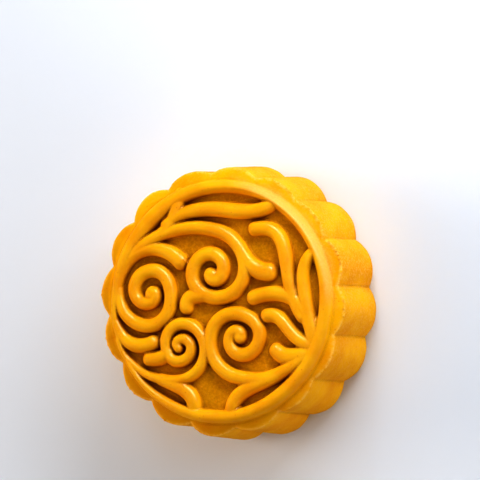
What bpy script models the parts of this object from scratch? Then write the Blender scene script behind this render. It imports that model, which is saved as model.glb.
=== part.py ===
"""Custard mooncake, one baked piece with a pressed scroll relief on its face.

The cake lies flat on its base, pattern up, with its origin under the middle of the base.
Its wall has sixteen round lobes with a sharp crease between each pair. The face is level
and carries a raised rim and strands: four scrolls, their tails, and leaves between them.
"""

import math

import bmesh
import bpy
from mathutils import Vector

MM = 0.001

# Driving dimensions of the cake, in metres.
CAKE_WIDTH = 60.0 * MM
BODY_HEIGHT = 21.8 * MM
RELIEF_HEIGHT = 2.0 * MM
BASE_ROUNDING = 3.6 * MM
WALL_FLARE = 0.25 * MM
EDGE_ROUNDING = 0.35 * MM
CREASE_DEPTH = 1.77 * MM
FLATTENING = 0.972

# The wall. The creases run out towards the base, where they keep a share of their depth.
LOBE_COUNT = 16
LOBE_SEGMENTS = 7
BASE_STEPS = 4
BASE_CREASE_SHARE = 0.65

# How far each lobe bulges past the even round, in millimetres on a 60 mm cake. Lobes are
# counted from the one on +X towards +Y. Soft dough never leaves its mould quite even.
LOBE_REACH = (0.0, 0.0, 0.15, 0.3, 0.15, 0.0, 0.1, 0.1, 0.1, 0.15, 0.2, 0.35, 0.45, 0.35, 0.1, 0.0)

# The relief is drawn in millimetres on a 60 mm cake, and grows and shrinks with the cake.
# Strands reach below the face by different depths, so that no two undersides meet.
PATTERN_UNIT = CAKE_WIDTH / 60.0
SINK_DEPTH = 0.7
SINK_STEP = 0.02
BUTTON_SINK_DEPTH = 1.2

# A strand's cross-section is a full, slightly squared arch. Strands thinner than the full
# width are lower too, and the inner side of a tight bend stays short of its middle.
FULL_HALF_WIDTH = 1.3
SECTION_FULLNESS = 2.4
SECTION_FACETS = 6
STATION_SPACING = 1.15
TIP_STATIONS = 3
TIP_OPENING = 0.35
INNER_BEND_LIMIT = 0.85
CURVE_STEPS = 48
BUTTON_SIDES = 18
BUTTON_LEVELS = 4

# Half width of the rim opposite each lobe. It is thin at the lower left, where three
# strands peel off it one after another.
RIM_FOOT_RADIUS = 27.4
RIM_CENTRE = (0.15, -0.2)
RIM_STATION_SPACING = 1.85
RIM_HALF_WIDTHS = (1.8, 1.8, 1.8, 1.75, 1.75, 1.75, 2.05, 1.8, 1.2, 0.7, 0.9, 1.35, 1.7, 1.75, 1.95, 2.0)

# Scrolls: the eye, the side where the coil starts in degrees, the way it turns (1 is
# anticlockwise), the distance of the strand from the eye at each quarter turn, and the
# half widths at the start, middle and end. A lead is where the strand leaves the rim and
# the point that it first heads for. A button is the round end of the coil: its middle and
# its radius.
SCROLLS = {
    "left_scroll": dict(
        eye=(-16.9, 0.5), start=180, way=1, lead=None,
        radii=(8.5, 7.45, 4.5, 4.9, 4.45, 2.1, 0.7), widths=(1.4, 1.7, 1.5),
        button=(-16.8, 0.1, 2.1)),
    "top_scroll": dict(
        eye=(-2.7, 5.7), start=90, way=-1, lead=((-20.5, 10.6), (-15.0, 14.9)),
        radii=(9.8, 7.8, 4.95, 4.8, 4.5, 2.8, 1.1, 0.3), widths=(1.4, 1.7, 1.65),
        button=(-2.45, 5.5, 1.75)),
    "low_scroll": dict(
        eye=(-9.3, -10.9), start=270, way=1, lead=((-24.6, -10.6), (-21.5, -17.2)),
        radii=(7.55, 6.4, 5.05, 3.2, 3.3, 3.1, 1.4, 0.3), widths=(0.7, 1.45, 1.3),
        button=(-9.25, -11.3, 1.3)),
    "right_scroll": dict(
        eye=(5.6, -7.3), start=270, way=-1, lead=((23.0, -9.5), (15.0, -16.6)),
        radii=(9.25, 7.3, 4.65, 4.6, 4.2, 2.4, 0.3), widths=(1.6, 1.7, 1.55),
        button=(5.5, -7.6, 1.8)),
}

# Leaves, tails and branches: root, the two points that bend the strand, tip, and the half
# widths at root, middle and tip.
STRANDS = {
    "stem": ((-24.5, 5.0), (-21.0, 14.0), (-13.3, 10.0), (-12.1, 22.6), (1.2, 1.5, 1.6)),
    "top_leaf": ((-15.0, 15.6), (-7.0, 23.7), (4.5, 17.3), (11.0, 23.2), (1.3, 1.75, 1.8)),
    "upper_left_leaf": ((-25.4, 1.0), (-24.2, 11.0), (-15.8, 12.1), (-10.7, 7.9), (1.1, 1.5, 1.95)),
    "left_leaf": ((-26.4, -3.2), (-24.7, -12.2), (-19.0, -12.4), (-15.8, -10.6), (0.6, 1.5, 1.8)),
    "low_tail": ((-11.8, -12.4), (-13.0, -13.8), (-14.5, -14.3), (-16.4, -14.3), (1.6, 1.7, 1.65)),
    "top_tail": ((-4.0, 0.9), (-7.2, 0.8), (-8.5, 0.0), (-8.3, -2.1), (1.6, 1.8, 1.75)),
    "middle_leaf": ((3.6, 12.2), (5.5, 9.0), (7.5, 6.9), (11.3, 7.2), (1.6, 1.95, 2.05)),
    "left_branch": ((-13.0, -18.6), (-8.0, -19.8), (-4.4, -20.5), (-4.3, -25.0), (1.4, 1.75, 1.75)),
    "right_branch": ((15.5, -15.6), (9.0, -18.5), (5.0, -19.5), (4.7, -24.8), (1.3, 1.8, 1.7)),
    "hooked_leaf": ((20.3, -2.0), (13.1, 6.5), (17.4, 19.0), (6.9, 16.5), (1.6, 1.75, 1.65)),
    "long_leaf": ((23.2, -7.0), (20.5, 4.5), (13.0, 3.4), (7.9, 1.3), (1.6, 1.75, 1.75)),
    "wavy_leaf": ((23.6, -8.2), (16.7, -7.5), (16.1, -0.9), (11.6, -2.4), (1.7, 1.65, 1.65)),
    "short_leaf": ((23.0, -9.5), (19.0, -10.8), (15.9, -12.6), (14.6, -9.6), (1.6, 2.0, 1.95)),
    "rim_leaf": ((23.6, -6.0), (20.3, 2.5), (17.5, 8.5), (21.7, 12.6), (1.6, 1.7, 1.4)),
    "leaf_root": ((24.0, -3.0), (22.8, -6.0), (22.6, -9.5), (21.0, -13.0), (1.6, 2.4, 1.7)),
}

# Finish of the solid.
MERGE_DISTANCE = 0.02 * MM
SLIVER_LENGTH = 0.01 * MM
SHARP_ANGLE = 40
CRUST_COLOUR = (0.72, 0.29, 0.015, 1.0)
CRUST_ROUGHNESS = 0.42


def clear_scene():
    for existing in list(bpy.data.objects):
        bpy.data.objects.remove(existing, do_unlink=True)


def crust_material():
    material = bpy.data.materials.new("baked_custard_crust")
    material.use_nodes = True
    shader = material.node_tree.nodes["Principled BSDF"]
    shader.inputs["Base Color"].default_value = CRUST_COLOUR
    shader.inputs["Roughness"].default_value = CRUST_ROUGHNESS
    shader.inputs["Metallic"].default_value = 0.0
    return material


def smooth_value(values, share):
    """Read a smooth curve through evenly spaced values, at a share from 0 to 1 of its length."""
    last = len(values) - 1
    place = min(max(share, 0.0), 1.0) * last
    index = min(int(place), last - 1)
    part = place - index
    before = values[index - 1] if index > 0 else 2 * values[0] - values[1]
    after = values[index + 2] if index + 2 <= last else 2 * values[last] - values[last - 1]
    near, far = values[index], values[index + 1]
    slope = far - before
    bend = 2 * before - 5 * near + 4 * far - after
    twist = 3 * (near - far) + after - before
    return near + 0.5 * part * (slope + part * (bend + part * twist))


def bezier(points, share):
    rest = 1.0 - share
    weights = (rest ** 3, 3 * rest * rest * share, 3 * rest * share * share, share ** 3)
    total = Vector((0.0, 0.0))
    for weight, point in zip(weights, points):
        total += weight * Vector(point)
    return total


def bezier_path(points):
    return [bezier(points, step / CURVE_STEPS) for step in range(CURVE_STEPS + 1)]


def scroll_path(scroll):
    """Coil inwards to the eye, after a lead that meets the coil without a kink."""
    eye = Vector(scroll["eye"])
    quarters = len(scroll["radii"]) - 1
    steps = CURVE_STEPS * quarters // 2
    coil = []
    for step in range(steps + 1):
        share = step / steps
        angle = math.radians(scroll["start"] + scroll["way"] * 90 * quarters * share)
        reach = smooth_value(scroll["radii"], share)
        coil.append(eye + reach * Vector((math.cos(angle), math.sin(angle))))
    if scroll["lead"] is None:
        return coil
    root, bend = scroll["lead"]
    heading = (coil[1] - coil[0]).normalized()
    handle = (coil[0] - Vector(root)).length / 3
    lead = bezier_path((root, bend, coil[0] - handle * heading, coil[0]))
    return lead[:-1] + coil


def resample(path, spacing):
    """Even stations along a path, each with its share of the length."""
    lengths = [0.0]
    for start, end in zip(path, path[1:]):
        lengths.append(lengths[-1] + (end - start).length)
    count = max(4, round(lengths[-1] / spacing))
    stations = []
    index = 0
    for step in range(count + 1):
        target = lengths[-1] * step / count
        while index < len(path) - 2 and lengths[index + 1] < target:
            index += 1
        span = lengths[index + 1] - lengths[index]
        part = (target - lengths[index]) / span
        stations.append((path[index].lerp(path[index + 1], part), step / count))
    return stations


def three_widths(widths, share):
    root, middle, tip = widths
    return (root * (1 - share) * (1 - 2 * share) + 4 * middle * share * (1 - share)
            + tip * share * (2 * share - 1))


def ridge_height(half_width):
    """A strand thinner than the full width is lower too."""
    return RELIEF_HEIGHT * math.sqrt(min(1.0, half_width / FULL_HALF_WIDTH))


def arch(angle):
    """Place across and height, as shares, of a point on the full arch of a cross-section."""
    across = math.copysign(abs(math.cos(angle)) ** (2 / SECTION_FULLNESS), math.cos(angle))
    upward = abs(math.sin(angle)) ** (2 / SECTION_FULLNESS)
    return across, upward


def strand_stations(path, widths):
    """Centre, heading, both half widths and height of each cross-section, round tips included."""
    stations = resample(path, STATION_SPACING)
    sections = []
    for index, (point, share) in enumerate(stations):
        ahead = stations[min(index + 1, len(stations) - 1)][0]
        behind = stations[max(index - 1, 0)][0]
        heading = (ahead - behind).normalized()
        half_width = three_widths(widths, share)
        left, right = bend_limits(behind, point, ahead, half_width)
        sections.append((point, heading, left, right, ridge_height(half_width)))
    start = rounded_end(sections[0], -1)
    end = rounded_end(sections[-1], 1)
    return start[::-1] + sections + end


def bend_limits(behind, point, ahead, half_width):
    """Keep the inner side of a tight bend short of the middle of the bend."""
    first = point - behind
    second = ahead - point
    if first.length == 0 or second.length == 0:
        return half_width, half_width
    turn = first.angle_signed(second)
    if turn == 0:
        return half_width, half_width
    limit = INNER_BEND_LIMIT * (first.length + second.length) / 2 / abs(turn)
    inner = min(half_width, limit)
    return (half_width, inner) if turn > 0 else (inner, half_width)


def rounded_end(section, way):
    point, heading, left, right, height = section
    reach = min(left, right)
    rounded = []
    for step in range(1, TIP_STATIONS + 1):
        angle = math.radians(90) * step / (TIP_STATIONS + TIP_OPENING)
        shrink = math.cos(angle)
        centre = point + heading * way * reach * math.sin(angle)
        rounded.append((centre, heading, left * shrink, right * shrink, height * shrink))
    return rounded


def section_points(section, sink):
    """Corners of one cross-section, from the left foot over the crest to the right foot."""
    point, heading, left, right, height = section
    side = Vector((-heading.y, heading.x))
    corners = []
    for facet in range(SECTION_FACETS + 1):
        across, upward = arch(math.pi * facet / SECTION_FACETS)
        offset = across * (left if across > 0 else right)
        place = (point + side * offset) * PATTERN_UNIT
        on_face = facet in (0, SECTION_FACETS)
        corners.append((place.x, place.y, BODY_HEIGHT + (0.0 if on_face else height * upward)))
    for offset in (-right, left):
        place = (point + side * offset) * PATTERN_UNIT
        corners.append((place.x, place.y, BODY_HEIGHT - sink * PATTERN_UNIT))
    return corners


def mesh_object(name, mesh_builder, collection):
    mesh = bpy.data.meshes.new(name)
    mesh_builder.to_mesh(mesh)
    mesh_builder.free()
    made = bpy.data.objects.new(name, mesh)
    collection.objects.link(made)
    return made


def loft(rings, closed, capped):
    """Skin a row of equal rings of corners; a closed row joins its last ring to its first."""
    builder = bmesh.new()
    made = [[builder.verts.new(corner) for corner in ring] for ring in rings]
    pairs = list(zip(made, made[1:]))
    if closed:
        pairs.append((made[-1], made[0]))
    for near, far in pairs:
        size = len(near)
        for index in range(size):
            after = (index + 1) % size
            builder.faces.new((near[index], near[after], far[after], far[index]))
    if capped:
        builder.faces.new(made[0])
        builder.faces.new(made[-1])
    bmesh.ops.recalc_face_normals(builder, faces=builder.faces)
    return builder


def strand_object(name, path, widths, sink, collection):
    sections = strand_stations(path, widths)
    rings = [section_points(section, sink) for section in sections]
    return mesh_object(name, loft(rings, closed=False, capped=True), collection)


def button_object(name, button, sink, collection):
    """The round, softly domed end of a coil."""
    x, y, radius = button
    levels = [(1.0, -sink * PATTERN_UNIT)]
    for level in range(BUTTON_LEVELS):
        across, upward = arch(math.radians(90) * level / BUTTON_LEVELS)
        levels.append((across, RELIEF_HEIGHT * upward))
    rings = []
    for across, height in levels:
        ring = []
        for side in range(BUTTON_SIDES):
            angle = 2 * math.pi * side / BUTTON_SIDES
            place = Vector((x, y)) + radius * across * Vector((math.cos(angle), math.sin(angle)))
            place *= PATTERN_UNIT
            ring.append((place.x, place.y, BODY_HEIGHT + height))
        rings.append(ring)
    return mesh_object(name, loft(rings, closed=False, capped=True), collection)


def rim_object(sink, collection):
    """The raised ring round the face, its foot on one circle and its width uneven."""
    widths = RIM_HALF_WIDTHS + RIM_HALF_WIDTHS[:1]
    length = 2 * math.pi * (RIM_FOOT_RADIUS - FULL_HALF_WIDTH)
    count = round(length / RIM_STATION_SPACING)
    centre = Vector(RIM_CENTRE)
    rings = []
    for step in range(count):
        share = step / count
        angle = 2 * math.pi * share
        half_width = smooth_value(widths, share)
        out = Vector((math.cos(angle), math.sin(angle)))
        heading = Vector((-out.y, out.x))
        point = centre + out * (RIM_FOOT_RADIUS - half_width)
        section = (point, heading, half_width, half_width, ridge_height(half_width))
        rings.append(section_points(section, sink))
    return mesh_object("rim", loft(rings, closed=True, capped=False), collection)


def lobed_ring(even_peak, crease, height):
    """One level of the wall: an arc for each lobe, through its peak and its two creases."""
    half_step = math.pi / LOBE_COUNT
    half_chord = crease * math.sin(half_step)
    corners = []
    for lobe in range(LOBE_COUNT):
        middle = 2 * half_step * lobe
        peak = even_peak + LOBE_REACH[lobe] * PATTERN_UNIT
        rise = peak - crease * math.cos(half_step)
        arc_radius = (half_chord ** 2 + rise ** 2) / (2 * rise)
        half_arc = math.asin(half_chord / arc_radius)
        for segment in range(LOBE_SEGMENTS):
            swing = half_arc * (2 * segment / LOBE_SEGMENTS - 1)
            along = peak - arc_radius + arc_radius * math.cos(swing)
            across = arc_radius * math.sin(swing)
            x = along * math.cos(middle) - across * math.sin(middle)
            y = along * math.sin(middle) + across * math.cos(middle)
            corners.append((x, y, height))
    return corners


def body_object(collection):
    """The cake without its relief: rounded base, slightly flared lobed wall, level face."""
    face_peak = CAKE_WIDTH / 2
    base_peak = face_peak + WALL_FLARE
    rings = []
    for step in range(BASE_STEPS + 1):
        angle = math.radians(90) * step / BASE_STEPS
        inset = BASE_ROUNDING * (1 - math.sin(angle))
        share = 1 - (1 - BASE_CREASE_SHARE) * inset / BASE_ROUNDING
        peak = base_peak - inset
        height = BASE_ROUNDING * (1 - math.cos(angle))
        rings.append(lobed_ring(peak, peak - CREASE_DEPTH * share, height))
    shoulder = BODY_HEIGHT - EDGE_ROUNDING
    rings.append(lobed_ring(face_peak, face_peak - CREASE_DEPTH, shoulder))
    edge_peak = face_peak - EDGE_ROUNDING
    rings.append(lobed_ring(edge_peak, edge_peak - CREASE_DEPTH, BODY_HEIGHT))
    return mesh_object("mooncake", loft(rings, closed=False, capped=True), collection)


def fuse(body, pieces):
    """Join the strands to the body with one union, then drop the loose strands."""
    union = body.modifiers.new("relief", "BOOLEAN")
    union.operation = "UNION"
    union.operand_type = "COLLECTION"
    union.collection = pieces
    union.solver = "EXACT"
    union.use_self = True
    graph = bpy.context.evaluated_depsgraph_get()
    fused = bpy.data.meshes.new_from_object(body.evaluated_get(graph))
    body.modifiers.remove(union)
    body.data = fused
    for piece in list(pieces.objects):
        bpy.data.objects.remove(piece, do_unlink=True)
    bpy.data.collections.remove(pieces)


def centre_outline(builder):
    """Bring the middle of the outline, as seen from above, over the origin."""
    places = [vert.co for vert in builder.verts]
    low = Vector((min(place.x for place in places), min(place.y for place in places), 0.0))
    high = Vector((max(place.x for place in places), max(place.y for place in places), 0.0))
    bmesh.ops.translate(builder, vec=-(low + high) / 2, verts=builder.verts)


def finish(body):
    """Flatten the round slightly along X, merge slivers and split the faces into triangles."""
    builder = bmesh.new()
    builder.from_mesh(body.data)
    bmesh.ops.remove_doubles(builder, verts=builder.verts, dist=MERGE_DISTANCE)
    bmesh.ops.dissolve_degenerate(builder, edges=builder.edges, dist=SLIVER_LENGTH)
    bmesh.ops.triangulate(builder, faces=builder.faces)
    bmesh.ops.scale(builder, vec=(FLATTENING, 1.0, 1.0), verts=builder.verts)
    centre_outline(builder)
    builder.to_mesh(body.data)
    builder.free()
    body.data.shade_smooth()
    body.data.set_sharp_from_angle(angle=math.radians(SHARP_ANGLE))
    body.data.materials.clear()
    body.data.materials.append(crust_material())


def main():
    clear_scene()
    scene_collection = bpy.context.scene.collection
    pieces = bpy.data.collections.new("relief_strands")
    scene_collection.children.link(pieces)
    body = body_object(scene_collection)
    rim_object(SINK_DEPTH, pieces)
    paths = [(name, scroll_path(scroll), scroll["widths"]) for name, scroll in SCROLLS.items()]
    paths += [(name, bezier_path(strand[:4]), strand[4]) for name, strand in STRANDS.items()]
    for index, (name, path, widths) in enumerate(paths, start=1):
        strand_object(name, path, widths, SINK_DEPTH + SINK_STEP * index, pieces)
    for name, scroll in SCROLLS.items():
        button_object(name + "_button", scroll["button"], BUTTON_SINK_DEPTH, pieces)
    fuse(body, pieces)
    finish(body)


main()
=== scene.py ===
# %% [markdown]
# A custard mooncake is a small pressed pastry. Soft dough is wrapped round a ball of custard,
# pushed into a fluted cup, and a carved plunger presses a pattern into the top. Here the whole
# cake is one mesh, because the real one is one piece of dough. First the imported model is
# loaded: it gives the frame and the box that the finished cake has to fill.

# %% Load the frame
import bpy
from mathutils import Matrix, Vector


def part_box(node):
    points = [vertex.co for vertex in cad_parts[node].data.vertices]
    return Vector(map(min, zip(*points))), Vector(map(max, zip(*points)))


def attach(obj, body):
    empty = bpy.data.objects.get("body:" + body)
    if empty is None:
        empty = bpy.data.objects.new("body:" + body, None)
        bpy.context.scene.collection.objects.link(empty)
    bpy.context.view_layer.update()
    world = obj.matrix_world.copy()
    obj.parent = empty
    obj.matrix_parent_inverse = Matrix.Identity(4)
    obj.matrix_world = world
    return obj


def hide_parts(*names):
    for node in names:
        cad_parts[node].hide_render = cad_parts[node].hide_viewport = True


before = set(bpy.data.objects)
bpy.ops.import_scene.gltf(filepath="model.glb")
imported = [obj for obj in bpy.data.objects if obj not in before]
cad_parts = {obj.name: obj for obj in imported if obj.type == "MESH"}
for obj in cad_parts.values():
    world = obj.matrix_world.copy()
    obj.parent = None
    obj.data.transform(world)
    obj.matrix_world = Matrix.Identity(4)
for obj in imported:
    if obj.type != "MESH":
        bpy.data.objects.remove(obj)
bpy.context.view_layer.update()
low_corner, high_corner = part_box("mooncake")
print("solid cake from", low_corner, "to", high_corner)

# %% [markdown]
# The dough is modelled in millimetres, because a cook's mould is cut to millimetres and small
# numbers in metres are hard to read. It is brought to metres once, at the very end. The sizes
# are those of a common 75 g mould: sixty across, with a face about twenty-two above the table.
# The plunger sinks half a millimetre deeper inside its rim, and the pattern stands up from there.

# %% Sizes of the mould
import math

import bmesh
import bpy
from mathutils import Matrix, Vector, kdtree, noise

MM = 0.001
CAKE_WIDTH = 60.0
FACE_HEIGHT = 21.8
RELIEF_HEIGHT = 2.2
FLOOR_DROP = 0.5
FLATTENING = 0.972
print("mould", CAKE_WIDTH, "mm across, face at", FACE_HEIGHT, "mm")

# %% [markdown]
# The wall has sixteen flutes, which bake into round lobes with a crease between each pair. Each
# lobe is an arc of a circle through its two creases and its peak. No lobe comes out of the
# mould quite like its neighbour, so every lobe has a reach of its own, and some are pulled in
# towards the face, most at the upper right. A circle with many corners is moved onto that
# outline, corner by corner: it keeps the same number of corners at every height, so the wall can
# be extruded from it.

# %% The outline of the wall
LOBE_COUNT = 16
LOBE_STEPS = 24
CREASE_DEPTH = 1.77
LOBE_REACH = (0.0, 0.0, 0.15, 0.3, 0.15, 0.0, 0.1, 0.1, 0.1, 0.15, 0.2, 0.35, 0.45, 0.35, 0.1, 0.0)
FACE_PULL = (0.1, 0.0, 0.9, 0.9, 0.5, 0.2, 0.0, 0.0, 0.0, 0.0, 0.1, 0.2, 0.3, 0.6, 0.6, 0.5)


def lobe_point(index, even_peak, crease, rise_share=0.0):
    """Corner of the outline, counted anticlockwise. A lobe leans in more the higher it has risen."""
    lobe, step = divmod(index, LOBE_STEPS)
    half_step = math.pi / LOBE_COUNT
    half_chord = crease * math.sin(half_step)
    peak = even_peak + LOBE_REACH[lobe] - FACE_PULL[lobe] * rise_share
    rise = peak - crease * math.cos(half_step)
    arc_radius = (half_chord ** 2 + rise ** 2) / (2 * rise)
    swing = math.asin(half_chord / arc_radius) * (2 * step / LOBE_STEPS - 1)
    corner = Vector((peak - arc_radius + arc_radius * math.cos(swing), arc_radius * math.sin(swing)))
    corner.rotate(Matrix.Rotation(2 * half_step * lobe, 2))
    return corner


widest = [lobe_point(index, CAKE_WIDTH / 2, CAKE_WIDTH / 2 - CREASE_DEPTH)
          for index in range(LOBE_COUNT * LOBE_STEPS)]
print("outline", len(widest), "corners")

# %% [markdown]
# Now the body. The circle is capped, and its cap is extruded from level to level: up round the
# soft lower edge, where the dough never fills the cup, then straight up the wall, over the
# rounded margin of the face, and down to the recessed floor of the pattern. The creases keep
# only part of their depth underneath.

# %% The body with its lobes
BASE_ROUNDING = 3.6
WALL_FLARE = 0.25
EDGE_DROP = 0.9
MARGIN_WIDTH = 2.2
MARGIN_SHAPE = ((0.0, 1.0), (0.06, 0.82), (0.24, 0.55), (0.5, 0.28), (1.0, 0.0))
RECESS_RADIUS = 25.9
BASE_STEPS = 10
BASE_CREASE_SHARE = 0.65


def wall_levels():
    """Height, peak and crease radius of each level, from the base up."""
    levels = []
    base_peak = CAKE_WIDTH / 2 + WALL_FLARE
    for step in range(BASE_STEPS + 1):
        angle = math.radians(90) * step / BASE_STEPS
        inset = BASE_ROUNDING * (1 - math.sin(angle))
        share = 1 - (1 - BASE_CREASE_SHARE) * inset / BASE_ROUNDING
        peak = base_peak - inset
        levels.append((BASE_ROUNDING * (1 - math.cos(angle)), peak, peak - CREASE_DEPTH * share))
    for inset, drop in MARGIN_SHAPE:
        peak = CAKE_WIDTH / 2 - inset * MARGIN_WIDTH
        levels.append((FACE_HEIGHT - drop * EDGE_DROP, peak, peak - CREASE_DEPTH))
    levels.append((FACE_HEIGHT - FLOOR_DROP, RECESS_RADIUS, RECESS_RADIUS))
    return levels


def lobed_body():
    builder = bmesh.new()
    start = bmesh.ops.create_circle(builder, cap_ends=True, segments=LOBE_COUNT * LOBE_STEPS, radius=1.0)
    ring = start["verts"]
    cap = ring[0].link_faces[0]
    for number, (height, peak, crease) in enumerate(wall_levels()):
        if number:
            grown = bmesh.ops.extrude_face_region(builder, geom=[cap])["geom"]
            cap = next(item for item in grown if isinstance(item, bmesh.types.BMFace))
            ring = [loop.vert for loop in cap.loops]
        for index, vert in enumerate(ring):
            corner = lobe_point(index, peak, crease, height / FACE_HEIGHT)
            vert.co = corner.to_3d() + Vector((0, 0, height))
    bmesh.ops.recalc_face_normals(builder, faces=builder.faces)
    return builder


body = lobed_body()
print("body", len(body.faces), "faces")

# %% [markdown]
# Every ridge of the pattern is a strand of dough with a full, round back. A carver cuts such a
# groove by following a line with one gouge, and a sweep copies that: a cross-section is carried
# along a path. The section is a circle squared up a little, placed at each station with its own
# width and height, and neighbouring rings are bridged. The half below the face disappears in
# the body when the dough is joined.

# %% Sweep a strand
SECTION_SIDES = 24
SECTION_FULLNESS = 2.35
FULL_HALF_WIDTH = 1.3
TIP_STEPS = 6


def squared(value, fullness):
    return math.copysign(abs(value) ** (2 / fullness), value)


def section_ring(builder, place, heading, half_width, height, fullness=SECTION_FULLNESS):
    """One cross-section at a point of the face. Below a fullness of two it is a soft roof."""
    ring = bmesh.ops.create_circle(builder, segments=SECTION_SIDES, radius=1.0)["verts"]
    for vert in ring:
        vert.co.x = squared(vert.co.x, fullness)
        vert.co.y = squared(vert.co.y, fullness)
    side = Vector((-heading.y, heading.x, 0))
    turn = Matrix((side * half_width, Vector((0, 0, height)), heading.to_3d())).transposed()
    lift = Vector((0, 0, FACE_HEIGHT - FLOOR_DROP))
    matrix = Matrix.Translation(place.to_3d() + lift) @ turn.to_4x4()
    bmesh.ops.transform(builder, matrix=matrix, verts=ring)
    return list({edge for vert in ring for edge in vert.link_edges})


def bridge_rings(builder, rings, closed):
    pairs = list(zip(rings, rings[1:]))
    if closed:
        pairs.append((rings[-1], rings[0]))
    else:
        bmesh.ops.contextual_create(builder, geom=rings[0])
        bmesh.ops.contextual_create(builder, geom=rings[-1])
    for near, far in pairs:
        bmesh.ops.bridge_loops(builder, edges=near + far)
    bmesh.ops.recalc_face_normals(builder, faces=builder.faces)


def ridge_height(half_width):
    """A thin strand is lower too."""
    return (RELIEF_HEIGHT + FLOOR_DROP) * math.sqrt(min(1.0, half_width / FULL_HALF_WIDTH))


# %% [markdown]
# A strand needs a path and widths. The paths are smooth: leaves are Bezier curves through a
# root and a tip, bent by two points between, and a scroll is drawn as a carver would, by the
# distance from its eye at each quarter turn. Both are cut into even steps before the sweep.

# %% Paths for leaves and scrolls
CURVE_STEPS = 64
STATION_SPACING = 0.4


def smooth_value(values, share):
    """Read a smooth curve through evenly spaced values, at a share from 0 to 1 of its length."""
    last = len(values) - 1
    place = min(max(share, 0.0), 1.0) * last
    index = min(int(place), last - 1)
    part = place - index
    before = values[index - 1] if index > 0 else 2 * values[0] - values[1]
    after = values[index + 2] if index + 2 <= last else 2 * values[last] - values[last - 1]
    near, far = values[index], values[index + 1]
    bend = 2 * before - 5 * near + 4 * far - after
    twist = 3 * (near - far) + after - before
    return near + 0.5 * part * (far - before + part * (bend + part * twist))


def leaf_path(root, first_bend, second_bend, tip):
    points = [Vector(point) for point in (root, first_bend, second_bend, tip)]
    path = []
    for step in range(CURVE_STEPS + 1):
        share = step / CURVE_STEPS
        rest = 1 - share
        path.append(rest ** 3 * points[0] + 3 * rest * rest * share * points[1]
                    + 3 * rest * share * share * points[2] + share ** 3 * points[3])
    return path


def scroll_path(eye, start, way, radii, lead):
    """Coil inwards to the eye, after a lead that meets the coil without a kink."""
    quarters = len(radii) - 1
    steps = CURVE_STEPS * quarters // 2
    coil = []
    for step in range(steps + 1):
        angle = math.radians(start + way * 90 * quarters * step / steps)
        reach = smooth_value(radii, step / steps)
        coil.append(Vector(eye) + reach * Vector((math.cos(angle), math.sin(angle))))
    if lead is None:
        return coil
    root, bend = lead
    heading = (coil[1] - coil[0]).normalized()
    handle = (coil[0] - Vector(root)).length / 3
    return leaf_path(root, bend, coil[0] - handle * heading, coil[0])[:-1] + coil


def even_steps(path, spacing):
    """Points a fixed distance apart along a path, each with its share of the length."""
    lengths = [0.0]
    for near, far in zip(path, path[1:]):
        lengths.append(lengths[-1] + (far - near).length)
    count = max(4, round(lengths[-1] / spacing))
    points = []
    index = 0
    for step in range(count + 1):
        target = lengths[-1] * step / count
        while index < len(path) - 2 and lengths[index + 1] < target:
            index += 1
        part = (target - lengths[index]) / (lengths[index + 1] - lengths[index])
        points.append((path[index].lerp(path[index + 1], part), step / count))
    return points


# %% [markdown]
# The strand itself: its width runs smoothly through three values, and each end is rounded off
# by shrinking the last rings along a quarter circle, which stops just short of a point so that
# it can be capped. Dough swells in the oven, so a strand bakes wider than its groove was cut.

# %% Build a strand
OVEN_SWELL = 1.06
TIP_REST = 0.3
RIM_NEARS = 23.0
RIM_MEETS = 26.0
RIM_SINK = 0.2


def three_widths(widths, share):
    root, middle, tip = widths
    return (root * (1 - share) * (1 - 2 * share) + 4 * middle * share * (1 - share)
            + tip * share * (2 * share - 1))


def round_tip(builder, place, heading, half_width, height, way):
    rings = []
    for step in range(1, TIP_STEPS + 1):
        angle = math.radians(90) * step / (TIP_STEPS + TIP_REST)
        shrink = math.cos(angle)
        centre = place + heading * way * half_width * math.sin(angle)
        rings.append(section_ring(builder, centre, heading, half_width * shrink, height * shrink))
    return rings


def meeting_rim(place):
    """A strand sinks a little where it runs into the rim, so that the rim's back stays whole."""
    share = min(max((place.length - RIM_NEARS) / (RIM_MEETS - RIM_NEARS), 0.0), 1.0)
    return 1 - RIM_SINK * share * share * (3 - 2 * share)


def strand(path, widths, fall=1.0):
    builder = bmesh.new()
    points = even_steps(path, STATION_SPACING)
    rings = []
    for index, (place, share) in enumerate(points):
        ahead = points[min(index + 1, len(points) - 1)][0]
        behind = points[max(index - 1, 0)][0]
        heading = (ahead - behind).normalized()
        half_width = OVEN_SWELL * three_widths(widths, share)
        height = ridge_height(half_width) * meeting_rim(place) * fall
        if index == 0:
            rings += round_tip(builder, place, heading, half_width, height, -1)[::-1]
        rings.append(section_ring(builder, place, heading, half_width, height))
        if index == len(points) - 1:
            rings += round_tip(builder, place, heading, half_width, height, 1)
    bridge_rings(builder, rings, closed=False)
    return builder


# %% [markdown]
# Four scrolls fill the face, and each ends in a round, softly domed button. The button is half
# a ball, so a sphere is cut at its middle and flattened to the height of the pattern.

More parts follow.
